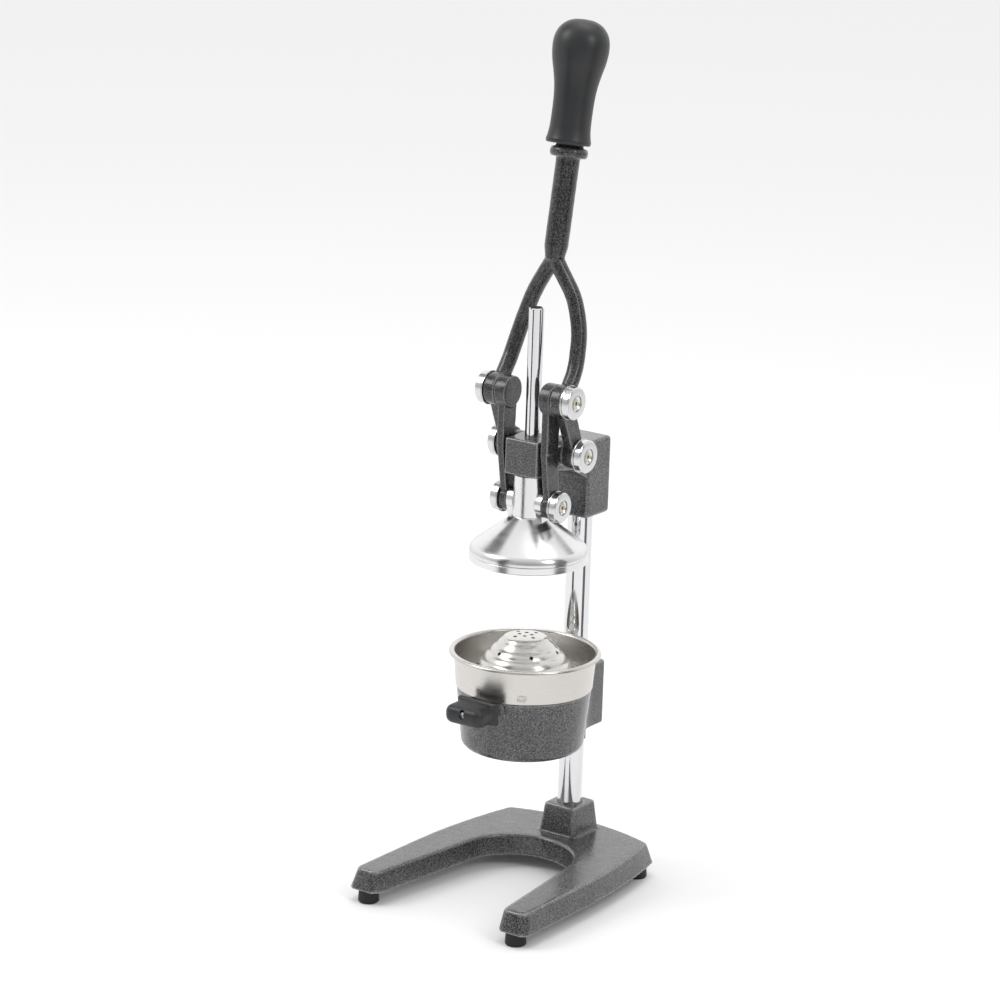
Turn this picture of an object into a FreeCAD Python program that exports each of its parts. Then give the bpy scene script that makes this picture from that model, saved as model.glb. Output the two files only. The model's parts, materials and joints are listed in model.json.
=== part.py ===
import FreeCAD
import Part
import math
import os

# Hand-lever citrus press: U-shaped base, column, cast cup with steel bowl, sliding bell, fork lever.

V = FreeCAD.Vector

# driving dimensions (mm)
# Base casting and feet. Front is -Y, the footprint is centred on the origin.
base_length = 225.0        # front tips to the crown of the rear edge, at the underside
base_width = 179.0         # across the front tips, at the underside
base_thickness = 18.0
base_draft = 4.5           # how far the top outline stands inside the bottom one
base_corner = 7.0
base_side_straight = 83.0  # straight stretch of each outer side, from the tip
base_rear_half = 75.5      # half width at the rear corners
base_crown = 13.5          # how far the rear edge bulges behind its corners
bay_radius = 47.6          # round end of the bay between the legs, at the underside
bay_draft = 2.4
leg_tip_width = 28.7       # at the underside
foot_height = 11.0
foot_radius = 8.75
foot_margin = 0.5          # foot edge behind the tip
foot_screw_radius = 2.5
foot_screw_head = 4.6

# Column and its socket
column_back = 32.0         # column axis to the crown of the rear edge
column_radius = 10.5
socket_wall = (5.0, 5.8)   # left of the column's hole at the socket's top, along X and Y
socket_flare = 5.6         # how much wider it is at its foot
socket_height = 25.6
column_seat = 16.0         # casting left under the column
bolt_radius = 5.0
bolt_length = 32.0
bolt_head_over = 4.2       # head and washer beyond the bolt's radius
bolt_head_height = 6.4
washer_thickness = 2.0
washer_beyond = 5.6
fixed_clearance = 0.05     # radial, parts that are clamped or screwed
running_clearance = 0.06   # radial, parts that turn or slide

# Cup holder
cup_top_z = 176.5
cup_height = 52.0
cup_top_radius = 56.0
cup_taper = 5.5            # bottom radius under the top one
cup_wall = 4.5
cup_floor = 5.0
cup_round = 7.0
cup_outlet_radius = 12.0
cup_block_wall = 8.5       # left round the column's hole, at the sides and the back
cup_block_above = 3.5      # block top above the cup's edge
cup_web_radius = 40.0      # concave sides between block and cup
stub_half_width = 15.5
stub_thickness = 10.0
stub_length = 24.0         # from the cup's wall
grip_half_width = 18.5
grip_thickness = 16.5
grip_length = 26.0
grip_wall_round = 5.0
grip_lip = 1.3
grip_lip_length = 4.0
grip_beyond = 9.0          # grip in front of the stub
grip_below = 1.0           # grip's middle under the stub's
grip_screw_radius = 1.6
grip_screw_head = 3.0
grip_screw_length = 19.0
grip_recess_depth = 4.0
set_screw_radius = 2.5
set_screw_below = 9.0      # under the cup's edge

# Steel bowl and strainer
sheet = 1.0
bowl_overhang = 0.2        # shoulder beyond the cup's edge
bowl_flare = 6.8           # rim beyond the shoulder
bowl_rim_z_above = 30.8    # rim above the cup's edge
bowl_play = 1.5            # skirt inside the cup's wall
bowl_to_column = 1.5       # rim in front of the column
bowl_seat_depth = 9.0
bowl_floor_drop = 20.0
outlet_play = 2.5          # spout inside the cup's hole
spout_flange = 3.0         # flange that holds the spout in the bowl's floor
spout_length = 25.0
lift_gap = 0.4             # loose parts stand this far off their seats
strainer_height = 38.0     # crown above the flange
strainer_play = 2.2        # flange inside the bowl's shoulder
strainer_foot_radius = 43.2
strainer_hole = 1.6
crown_holes = ((5.1, 25.0), (10.6, 70.0))   # ring radius and first hole's direction, four holes a ring
tier_holes = ((4, 315.0), (8, 285.0), (9, 315.0))   # tier and first hole's direction, six holes a tier

# Head casting
head_z = 309.4
head_block_wall = 7.1      # left at the column's sides
head_block_back_wall = 6.5
head_block_height = 66.0
head_round = 3.0
head_screw_radius = 4.0
head_screws_above = (18.0, 49.0)   # above head_z
head_screw_inset = 0.6
guide_half = 16.0
guide_above = 48.6         # underside of the guide block above head_z
guide_height = 30.5
arm_root_above = 33.6      # underside of the arm where it leaves the rear block
fulcrum_behind = 14.6      # axis of cup and bell to the fulcrum
fulcrum_above = 66.9       # fulcrum above head_z
boss_wall = 6.0            # metal round a pivot screw in the head and in a link's lower end

# Pivot stacks, measured along X from the middle plane
side_gap = 1.6             # between the guide block and a link, and half as much again at an ear
lever_in_gap = 2.3         # inner face of the lever beyond the links' plates
lever_boss_length = 10.4
pivot_gap = 0.4
screw_radius = 5.0
screw_head_over = 0.7
screw_head_height = 3.6
hex_across = 3.0
cap_wall = 8.5             # cap beyond the pivot screw
bell_cap_wall = 7.5
cap_thickness = 6.5
cap_recess = 4.6
pivot_washer = 1.4
washer_over = 0.6          # washer radius beyond the cap's
spot_face_over = 1.2       # machined face beyond the washer

# Lever
crank_radius = 52.17
crank_angle = 67.22        # above the forward horizontal with the lever raised
lever_boss_wall = 8.2
crank_bar_width = 15.5
crank_bar_inset = (1.2, 0.6)   # bar's faces inside the bosses' inner and outer faces
arm_radius = 6.6
shaft_radius = 9.8
lever_lean = 10.2          # degrees behind the vertical
crotch_back = 8.9          # from the fulcrum
crotch_above = 157.7
collar_at = 85.0           # along the shaft from the crotch
collar_over = 5.8          # collar beyond the shaft
collar_height = 8.0
tang_inset = 1.8           # tang inside the shaft's radius
tang_length = 60.0
lever_grip_at = 92.0
lever_grip_length = 100.7
# grip outline as shares of its length and of its largest radius
lever_grip_radius = 22.8
lever_grip_outline = ((0.0, 0.79), (0.07, 0.73), (0.3, 0.72), (0.45, 0.765), (0.6, 0.89),
                      (0.78, 1.0), (0.9, 0.86), (0.97, 0.55))

# Links
link_low_length = 6.8
link_top_proud = 1.6       # upper boss stands this far inside the plate's inner face
link_plate_inset = 0.7
link_plate_thickness = 6.8
link_top_wall = 8.0
link_width = 16.5
link_bow = 4.0

# Bell and rod
stop_gap = 0.5             # bell neck below the guide block with the lever raised
bell_height = 72.9         # rim to top of neck
bell_radius = 49.0
bell_band = 6.0            # rim to the groove above it
bell_groove = 0.5
bell_corner = 11.4         # where wall and cone would meet above the rim
bell_shoulder = 8.0        # rounding between them
bell_wall = 4.0
bell_cone_top = 38.0       # top of the cone above the rim
neck_wall = 8.15           # round the rod
neck_fillet = 1.5
lug_drop = 23.5            # lug pin below the top of the neck
lug_wall = 5.4             # round the pivot screw's hole
lug_foot = 26.0            # lug's narrow lower end below its pin
rod_radius = 6.25
rod_above = 138.5          # rod top above the neck
rod_seat = 22.0

# places worked out from them
base_front = -base_length / 2
base_back = base_length / 2
base_z = foot_height
base_top = base_z + base_thickness
column_y = base_back - column_back
bowl_shoulder_radius = cup_top_radius + bowl_overhang
bowl_rim_radius = bowl_shoulder_radius + bowl_flare
reach = bowl_rim_radius + bowl_to_column + column_radius   # column axis to the axis of cup and bell
axis_y = column_y - reach
cup_bottom_radius = cup_top_radius - cup_taper
cup_bottom_z = cup_top_z - cup_height
column_bottom = base_z + column_seat
head_top = head_z + head_block_height
column_top = head_top - 8.0
guide_bottom = head_z + guide_above
guide_top = guide_bottom + guide_height
fulcrum = (axis_y + fulcrum_behind, head_z + fulcrum_above)
crank = (fulcrum[0] - crank_radius * math.cos(math.radians(crank_angle)),
         fulcrum[1] + crank_radius * math.sin(math.radians(crank_angle)))
neck_top = guide_bottom - stop_gap
bell_rim_z = neck_top - bell_height
lug = (axis_y, neck_top - lug_drop)
cup_block_half = column_radius + cup_block_wall
bowl_seat_radius = cup_top_radius - cup_wall - bowl_play
bowl_spout_radius = cup_outlet_radius - outlet_play
strainer_flange_radius = bowl_shoulder_radius - strainer_play
link_in = guide_half + side_gap
lug_out = link_in - 0.5
link_out = link_in + link_low_length
link_plate_in = link_in + link_plate_inset
link_top_in = link_plate_in - link_top_proud
link_plate_out = link_plate_in + link_plate_thickness
lever_in = link_plate_out + lever_in_gap
lever_out = lever_in + lever_boss_length
cap_radius = screw_radius + cap_wall
bell_cap_radius = screw_radius + bell_cap_wall
boss_radius = screw_radius + lever_boss_wall
pivot_boss_radius = screw_radius + boss_wall
spot_face_radius = cap_radius + washer_over + spot_face_over
neck_radius = rod_radius + neck_wall
lug_radius = screw_radius + lug_wall
lug_in = neck_radius - 3.6
tang_radius = shaft_radius - tang_inset
washer_radius = bolt_radius + washer_beyond
grip_front = axis_y - cup_top_radius - stub_length - grip_beyond
grip_middle_z = cup_top_z - stub_thickness / 2
sides = (("left", -1), ("right", 1))
both = (-1, 1)


# helpers
def box(x0, x1, y0, y1, z0, z1):
    return Part.makeBox(x1 - x0, y1 - y0, z1 - z0, V(x0, y0, z0))


def cyl(radius, z0, z1, x=0.0, y=0.0):
    return Part.makeCylinder(radius, z1 - z0, V(x, y, z0))


def cyl_x(radius, x0, x1, at):
    """Cylinder along X between x0 and x1 through the point at = (y, z)."""
    low, high = min(x0, x1), max(x0, x1)
    return Part.makeCylinder(radius, high - low, V(low, at[0], at[1]), V(1, 0, 0))


def cyl_y(radius, y0, y1, x, z):
    return Part.makeCylinder(radius, y1 - y0, V(x, y0, z), V(0, 1, 0))


def fuse(shapes):
    whole = shapes[0]
    for shape in shapes[1:]:
        whole = whole.fuse(shape)
    return whole.removeSplitter()


def cut(shape, tools):
    for tool in tools:
        shape = shape.cut(tool)
    return shape


def revolved(profile, x=0.0, y=0.0):
    """Solid of a closed (radius, z) polygon turned about the vertical line through x, y."""
    points = [V(x + radius, y, z) for radius, z in profile]
    face = Part.Face(Part.makePolygon(points + points[:1]))
    return face.revolve(V(x, y, 0), V(0, 0, 1), 360)


def fillet(shape, radius, wanted=lambda edge: True):
    edges = [edge for edge in shape.Edges if wanted(edge)]
    return shape.makeFillet(radius, edges)


def direction(edge):
    first, last = edge.Vertexes[0].Point, edge.Vertexes[-1].Point
    return (last - first).normalize() if first.distanceToPoint(last) > 1e-6 else V(0, 0, 0)


def upright(edge):
    return abs(direction(edge).z) > 0.8


def tangent_path(points):
    """Straight runs joined by tangent arcs, through a list of points."""
    edges = []
    start = points[0]
    for before, corner, after in zip(points, points[1:], points[2:]):
        to_before, to_after = (before - corner), (after - corner)
        trim = 0.45 * min(to_before.Length, to_after.Length)
        arc_start = corner + to_before.normalize() * trim
        arc_end = corner + to_after.normalize() * trim
        half_turn = (math.pi - to_before.getAngle(to_after)) / 2
        middle = (arc_start + arc_end) * 0.5
        radius = trim / math.tan(half_turn)
        inward = (middle - corner)
        reach_mid = inward.Length - radius * (1 / math.cos(half_turn) - 1)
        bulge = middle - inward.normalize() * reach_mid
        edges.append(Part.LineSegment(start, arc_start).toShape())
        edges.append(Part.Arc(arc_start, bulge, arc_end).toShape())
        start = arc_end
    edges.append(Part.LineSegment(start, points[-1]).toShape())
    return Part.Wire(edges)


def plate_yz(outline, x0, x1):
    """Flat plate between x0 and x1 from a list of (y, z) corners."""
    points = [V(x0, y, z) for y, z in outline]
    return Part.Face(Part.makePolygon(points + points[:1])).extrude(V(x1 - x0, 0, 0))


def bar_yz(start, end, width_start, width_end, x0, x1):
    """Straight tapered bar in a plane x = constant, between two (y, z) points."""
    dy, dz = end[0] - start[0], end[1] - start[1]
    length = math.hypot(dy, dz)
    ny, nz = -dz / length, dy / length
    outline = [(start[0] + ny * width_start / 2, start[1] + nz * width_start / 2),
               (end[0] + ny * width_end / 2, end[1] + nz * width_end / 2),
               (end[0] - ny * width_end / 2, end[1] - nz * width_end / 2),
               (start[0] - ny * width_start / 2, start[1] - nz * width_start / 2)]
    return plate_yz(outline, x0, x1)


def hex_prism(across, x0, x1, at):
    """Hexagonal prism along X, across its flats."""
    radius = across / math.sqrt(3)
    outline = [(at[0] + radius * math.cos(math.radians(60 * i)),
                at[1] + radius * math.sin(math.radians(60 * i))) for i in range(6)]
    return plate_yz(outline, x0, x1)


def mirrored(shape, side):
    return shape if side > 0 else shape.mirror(V(0, 0, 0), V(1, 0, 0))


# base, feet and column
def base_outline(inset, bay_inset, z):
    """Closed outline of the base at one height: outer edge pulled in by inset, bay by -bay_inset."""
    front = base_front + inset
    tip_out = base_width / 2 - inset
    tip_in = base_width / 2 - leg_tip_width + bay_inset
    side_end = front + base_side_straight
    rear_x = base_rear_half - inset
    rear_y = base_back - base_crown - inset
    crown_y = base_back - inset
    bay = bay_radius + bay_inset
    bay_y = axis_y - 7.0
    # outer side: an arc that leaves the straight stretch tangentially and meets the rear corner
    run, sweep = rear_y - side_end, tip_out - rear_x
    side_radius = (run * run + sweep * sweep) / (2 * sweep)
    turn = math.asin(run / side_radius) / 2
    side_mid = (tip_out - side_radius * (1 - math.cos(turn)), side_end + side_radius * math.sin(turn))
    # inner side: the tangent from the tip to the bay's circle
    span = math.hypot(tip_in, front - bay_y)
    lean = math.atan2(front - bay_y, tip_in) + math.acos(bay / span)
    bay_x, bay_end = bay * math.cos(lean), bay_y + bay * math.sin(lean)

    def at(x, y):
        return V(x, y, z)

    def line(a, b):
        return Part.LineSegment(a, b).toShape()

    edges = [line(at(tip_in, front), at(tip_out, front)),
             line(at(tip_out, front), at(tip_out, side_end)),
             Part.Arc(at(tip_out, side_end), at(*side_mid), at(rear_x, rear_y)).toShape(),
             Part.Arc(at(rear_x, rear_y), at(0, crown_y), at(-rear_x, rear_y)).toShape(),
             Part.Arc(at(-rear_x, rear_y), at(-side_mid[0], side_mid[1]), at(-tip_out, side_end)).toShape(),
             line(at(-tip_out, side_end), at(-tip_out, front)),
             line(at(-tip_out, front), at(-tip_in, front)),
             line(at(-tip_in, front), at(-bay_x, bay_end)),
             Part.Arc(at(-bay_x, bay_end), at(0, bay_y + bay), at(bay_x, bay_end)).toShape(),
             line(at(bay_x, bay_end), at(tip_in, front))]
    return Part.Wire(edges)


def foot_places():
    front_y = base_front + foot_radius + foot_margin
    rear_y = base_back - base_crown - foot_radius - 3.5
    front_x = base_width / 2 - leg_tip_width / 2 - 1.0
    rear_x = base_rear_half - foot_radius - foot_margin
    return {"front_left": (-front_x, front_y), "front_right": (front_x, front_y),
            "rear_left": (-rear_x, rear_y), "rear_right": (rear_x, rear_y)}


def socket_section(z, flare, corner):
    half_x = column_radius + socket_wall[0] + flare / 2
    half_y = column_radius + socket_wall[1] + flare / 2
    block = box(-half_x, half_x, column_y - half_y, column_y + half_y, z, z + 1)
    face = [f for f in fillet(block, corner, upright).Faces if abs(f.CenterOfMass.z - z) < 1e-6][0]
    return face.OuterWire


def make_base():
    body = Part.makeLoft([base_outline(0, 0, base_z), base_outline(base_draft, bay_draft, base_top)],
                         True, True)
    body = fillet(body, base_corner,
                  lambda e: upright(e) and abs(e.CenterOfMass.x) > bay_radius + 6)
    body = fillet(body, 2.4, lambda e: abs(e.CenterOfMass.z - base_top) < 1e-3)
    socket = Part.makeLoft([socket_section(base_top - 1, socket_flare, 3.0),
                            socket_section(base_top + socket_height, 0.0, 3.0)], True, True)
    socket = fillet(socket, 1.6, lambda e: abs(e.CenterOfMass.z - base_top - socket_height) < 1e-3)
    holes = [cyl(column_radius + fixed_clearance, column_bottom, base_top + socket_height + 1, 0, column_y),
             cyl(bolt_radius + fixed_clearance, base_z, column_bottom, 0, column_y),
             cyl(washer_radius + 1.0, base_z, base_z + bolt_head_height + washer_thickness, 0, column_y)]
    for x, y in foot_places().values():
        holes.append(cyl(foot_screw_radius + fixed_clearance, base_z, base_z + 11.0, x, y))
    return cut(fuse([body, socket]), holes)


def make_foot(x, y):
    profile = [(0, 0.0), (foot_radius - 1.2, 0.0), (foot_radius, 1.2), (foot_radius - 0.5, foot_height),
               (0, foot_height)]
    foot = revolved(profile, x, y)
    return cut(foot, [cyl(foot_screw_radius + fixed_clearance, 0, foot_height, x, y),
                      cyl(foot_screw_head + 0.9, 0, 5.0, x, y)])


def make_foot_screws():
    screws = []
    for x, y in foot_places().values():
        head = cyl(foot_screw_head, 2.2, 5.0, x, y)
        shank = cyl(foot_screw_radius, 5.0, foot_height + 9.0, x, y)
        slot = box(x - 3.6, x + 3.6, y - 0.5, y + 0.5, 2.2, 3.2)
        screws.append(head.fuse(shank).removeSplitter().cut(slot))
    return Part.makeCompound(screws)


def make_column():
    bar = cyl(column_radius, column_bottom, column_top, 0, column_y)
    bar = bar.makeChamfer(0.8, [e for e in bar.Edges if abs(e.BoundBox.ZMax - e.BoundBox.ZMin) < 1e-6])
    depth = bolt_length - column_seat + bolt_head_height + washer_thickness + 4.0
    return bar.cut(cyl(bolt_radius + fixed_clearance, column_bottom, column_bottom + depth, 0, column_y))


def make_column_washer():
    z = base_z + bolt_head_height
    ring = cyl(washer_radius, z, z + washer_thickness, 0, column_y)
    return ring.cut(cyl(bolt_radius + 0.4, z, z + washer_thickness, 0, column_y))


def make_column_bolt():
    radius = bolt_radius + bolt_head_over
    corners = [V(radius * math.cos(math.radians(60 * i)), column_y + radius * math.sin(math.radians(60 * i)),
                 base_z) for i in range(6)]
    head = Part.Face(Part.makePolygon(corners + corners[:1])).extrude(V(0, 0, bolt_head_height))
    shank = cyl(bolt_radius, base_z + bolt_head_height, base_z + bolt_head_height + bolt_length, 0, column_y)
    return head.fuse(shank).removeSplitter()


# cup holder, bowl and strainer
def web_outline():
    """Plan of the cup holder behind the cup: block sides that sweep out to the cup in concave arcs."""
    half, radius, cup = cup_block_half, cup_web_radius, cup_top_radius
    centre_x = half + radius
    centre_y = axis_y + math.sqrt((cup + radius) ** 2 - centre_x ** 2)
    far = math.hypot(centre_x, centre_y - axis_y)
    touch = (centre_x * cup / far, axis_y + (centre_y - axis_y) * cup / far)
    middle_angle = (math.pi + math.atan2(touch[1] - centre_y, touch[0] - centre_x) % (2 * math.pi)) / 2
    middle = (centre_x + radius * math.cos(middle_angle), centre_y + radius * math.sin(middle_angle))
    return centre_y, touch, middle


def make_cup_holder():
    centre_y, touch, middle = web_outline()
    back = column_y + cup_block_half
    low, high = cup_bottom_z, cup_top_z + cup_block_above

    def at(x, y):
        return V(x, y, low)

    edges = [Part.LineSegment(at(cup_block_half, centre_y), at(cup_block_half, back)).toShape(),
             Part.LineSegment(at(cup_block_half, back), at(-cup_block_half, back)).toShape(),
             Part.LineSegment(at(-cup_block_half, back), at(-cup_block_half, centre_y)).toShape(),
             Part.Arc(at(-cup_block_half, centre_y), at(-middle[0], middle[1]),
                      at(-touch[0], touch[1])).toShape(),
             Part.LineSegment(at(-touch[0], touch[1]), at(touch[0], touch[1])).toShape(),
             Part.Arc(at(touch[0], touch[1]), at(*middle), at(cup_block_half, centre_y)).toShape()]
    web = Part.Face(Part.Wire(edges)).extrude(V(0, 0, high - low))
    web = fillet(web, 3.5, lambda e: upright(e) and e.CenterOfMass.y > back - 1)
    web = fillet(web, 1.5, lambda e: e.CenterOfMass.z > high - 1e-3 and e.CenterOfMass.y > touch[1] + 1)
    cup = Part.makeCone(cup_bottom_radius, cup_top_radius, cup_height, V(0, axis_y, low))
    cup = fillet(cup, cup_round, lambda e: abs(e.CenterOfMass.z - low) < 1e-3)
    stub_front = axis_y - cup_top_radius - stub_length
    stub = box(-stub_half_width, stub_half_width, stub_front, axis_y - cup_top_radius + 10,
               cup_top_z - stub_thickness, cup_top_z)
    stub = fillet(stub, 3.0, lambda e: abs(direction(e).y) > 0.9)
    body = fuse([web, cup, stub])
    inner = Part.makeCone(cup_bottom_radius - cup_wall, cup_top_radius - cup_wall,
                          cup_height - cup_floor + 0.01, V(0, axis_y, low + cup_floor))
    bore = cyl(column_radius + fixed_clearance, low - 1, high + 1, 0, column_y)
    bowl_room = cyl(bowl_rim_radius + 2.0, cup_top_z, high + 1, 0, axis_y)
    outlet = cyl(cup_outlet_radius, low - 1, low + cup_floor + 1, 0, axis_y)
    screw_hole = cyl_x(set_screw_radius + fixed_clearance, -cup_block_half - 1, -column_radius,
                       (column_y, cup_top_z - set_screw_below))
    grip_hole = cyl_y(grip_screw_radius + fixed_clearance, stub_front, stub_front + 16.0, 0, grip_middle_z)
    return cut(body, [inner, bore, bowl_room, outlet, screw_hole, grip_hole])


def make_cup_set_screw():
    outer = -cup_block_half + 0.8
    at = (column_y, cup_top_z - set_screw_below)
    screw = cyl_x(set_screw_radius, outer, -column_radius - fixed_clearance, at)
    return screw.cut(hex_prism(2.4, outer, outer + 2.4, at))


def make_cup_grip():
    back = grip_front + grip_length
    low = grip_middle_z - grip_below - grip_thickness / 2
    high = low + grip_thickness
    body = box(-grip_half_width, grip_half_width, grip_front, back, low, high)
    body = fillet(body, grip_wall_round, lambda e: not (e.CenterOfMass.y > back - 1e-3))
    lip = box(-grip_half_width - grip_lip, grip_half_width + grip_lip, back - grip_lip_length, back,
              low - grip_lip, high + grip_lip)
    lip = fillet(lip, grip_wall_round, lambda e: abs(direction(e).y) > 0.9)
    lip = fillet(lip, 1.2, lambda e: e.CenterOfMass.y < back - grip_lip_length + 0.1)
    room = box(-stub_half_width - fixed_clearance, stub_half_width + fixed_clearance,
               grip_front + grip_beyond - 0.2, back + 1,
               cup_top_z - stub_thickness - fixed_clearance, cup_top_z + fixed_clearance)
    shank = cyl_y(grip_screw_radius + 0.1, grip_front, back, 0, grip_middle_z)
    recess = cyl_y(grip_screw_head + 0.6, grip_front - 0.5, grip_front + grip_recess_depth, 0, grip_middle_z)
    return cut(fuse([body, lip]), [room, shank, recess])


def make_cup_grip_screw():
    seat = grip_front + grip_recess_depth
    head = cyl_y(grip_screw_head, seat - 2.2, seat, 0, grip_middle_z)
    shank = cyl_y(grip_screw_radius, seat - 0.1, seat - 0.1 + grip_screw_length, 0, grip_middle_z)
    slot = box(-2.2, 2.2, seat - 2.3, seat - 1.3, grip_middle_z - 0.4, grip_middle_z + 0.4)
    return head.fuse(shank).removeSplitter().cut(slot)


def bowl_levels():
    """Heights of the bowl: seat on the cup, ledge for the strainer, floor, outlet and rim."""
    seat = cup_top_z + lift_gap
    ledge = seat + 5.0
    inner_floor = seat - bowl_seat_depth
    outlet = inner_floor - bowl_floor_drop
    return seat, ledge, inner_floor, outlet, cup_top_z + bowl_rim_z_above


def make_juice_bowl():
    seat, ledge, floor, outlet, rim = bowl_levels()
    shoulder, inner = bowl_shoulder_radius, bowl_seat_radius
    wall_top = bowl_rim_radius - 3.2
    hole = bowl_spout_radius + fixed_clearance
    flat = bowl_spout_radius + spout_flange + 0.5
    outer = [(hole, outlet), (flat, outlet), (inner, floor), (inner, seat),
             (shoulder - 1.0, seat), (shoulder, seat + 1.0), (wall_top, rim - 3.0),
             (bowl_rim_radius, rim - 2.0), (bowl_rim_radius, rim - 0.8), (bowl_rim_radius - 0.9, rim)]
    lining = [(wall_top - 0.6, rim - 1.2), (wall_top - sheet - 0.4, rim - 3.6),
              (shoulder - 0.6, ledge), (inner - sheet, ledge - 1.0), (inner - sheet, floor + 0.5),
              (flat - 0.3, outlet + sheet), (hole, outlet + sheet)]
    return revolved(outer + lining, 0, axis_y)


def make_bowl_spout():
    seat, ledge, floor, outlet, rim = bowl_levels()
    bottom = outlet + 2 * sheet - spout_length
    tube = cyl(bowl_spout_radius, bottom, outlet + 2 * sheet, 0, axis_y)
    flange = cyl(bowl_spout_radius + spout_flange, outlet + sheet, outlet + 2 * sheet, 0, axis_y)
    bore = cyl(bowl_spout_radius - sheet, bottom, outlet + 3, 0, axis_y)
    return tube.fuse(flange).removeSplitter().cut(bore)


def strainer_skin():
    """Outer line of the strainer from its crown to the edge of its flange, as (radius, height)."""
    seat, ledge, floor, outlet, rim = bowl_levels()
    foot = ledge + lift_gap
    top = foot + strainer_height
    slope = (strainer_foot_radius - 2.2) / 41.0
    # shares of the height and radii of the crown, three creased tiers and the foot
    tiers = ((0.0, 0.0), (12.0, 0.018), (18.4, 0.068), (24.6, 0.242), (25.8, 0.26), (29.6, 0.384),
             (30.9, 0.405), (35.0, 0.553), (36.3, 0.574), (41.0, 0.763))
    skin = [(radius * slope, top - drop * strainer_height) for radius, drop in tiers]
    return skin + [(strainer_foot_radius, foot + sheet), (strainer_flange_radius, foot + sheet)]


def on_skin(share):
    """Point and outward tilt halfway down the tier that starts at that entry of the skin."""
    (r0, z0), (r1, z1) = strainer_skin()[share:share + 2]
    return (r0 + r1) / 2, (z0 + z1) / 2, (r1 - r0) / (z0 - z1)


def make_strainer():
    skin = strainer_skin()
    lining = [(max(0.0, radius - 0.7 * sheet), z - sheet) for radius, z in reversed(skin[:-2])]
    foot = skin[-1][1] - sheet
    profile = skin + [(strainer_flange_radius, foot), (skin[-2][0] - sheet, foot)] + lining
    cone = revolved(profile, 0, axis_y)
    crown = skin[0][1]
    holes = []
    for radius, first in crown_holes:
        for i in range(4):
            angle = math.radians(first + 90 * i)
            holes.append(cyl(strainer_hole, crown - 4, crown + 1, radius * math.cos(angle),
                             axis_y + radius * math.sin(angle)))
    for tier, first in tier_holes:
        radius, z, tilt = on_skin(tier)
        for i in range(6):
            angle = math.radians(first + 60 * i)
            out = V(math.cos(angle), math.sin(angle), tilt).normalize()
            middle = V(radius * math.cos(angle), axis_y + radius * math.sin(angle), z)
            holes.append(Part.makeCylinder(strainer_hole, 6.0, middle - out * 3.0, out))
    return cut(cone, holes)


# head casting
def make_head():
    half, depth = column_radius + head_block_wall, column_radius + head_block_back_wall
    block = box(-half, half, column_y - depth, column_y + depth, head_z, head_top)
    block = fillet(block, head_round)
    guide = box(-guide_half, guide_half, axis_y - guide_half, axis_y + guide_half, guide_bottom, guide_top)
    guide = fillet(guide, 1.5)
    root_y, tip_y = column_y - depth + 3.0, axis_y + guide_half - 2.0

    def section(y, half_width, low, high):
        corners = [V(-half_width, y, low), V(half_width, y, low),
                   V(half_width, y, high), V(-half_width, y, high)]
        return Part.makePolygon(corners + corners[:1])

    waist_y = (root_y * 0.55 + tip_y * 0.45)
    arm = Part.makeLoft([section(root_y, half - 0.8, head_z + arm_root_above, head_top - 2.4),
                         section(waist_y, half - 2.2, guide_bottom - 3.5, head_top + 2.6),
                         section(tip_y, guide_half - 1.5, guide_bottom + 0.8, guide_top - 0.8)], True, True)
    arm = fillet(arm, 1.5, lambda e: abs(direction(e).y) > 0.7)
    boss = cyl_x(pivot_boss_radius, -lever_in + pivot_gap, lever_in - pivot_gap, fulcrum)
    body = fuse([block, arm, guide, boss])
    holes = [cyl(column_radius + fixed_clearance, head_z - 1, column_top + 0.2, 0, column_y),
             cyl(rod_radius + running_clearance, guide_bottom - 1, guide_top + 1, 0, axis_y)]
    for side in both:
        holes.append(cyl_x(screw_radius + fixed_clearance, side * 9.0, side * lever_in, fulcrum))
    for above in head_screws_above:
        holes.append(cyl_y(head_screw_radius + fixed_clearance, column_y + column_radius - 1,
                           column_y + depth + 1, 0, head_z + above))
    return cut(body, holes)


def make_head_set_screws():
    screws = []
    back = column_y + column_radius + head_block_back_wall - head_screw_inset
    near = column_y + column_radius + fixed_clearance
    radius = head_screw_radius / math.sqrt(3)
    for above in head_screws_above:
        z = head_z + above
        screw = cyl_y(head_screw_radius, near, back, 0, z)
        corners = [V(radius * math.cos(math.radians(60 * i)), back,
                     z + radius * math.sin(math.radians(60 * i))) for i in range(6)]
        socket = Part.Face(Part.makePolygon(corners + corners[:1])).extrude(V(0, -3.0, 0))
        screws.append(screw.cut(socket))
    return Part.makeCompound(screws)


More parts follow.
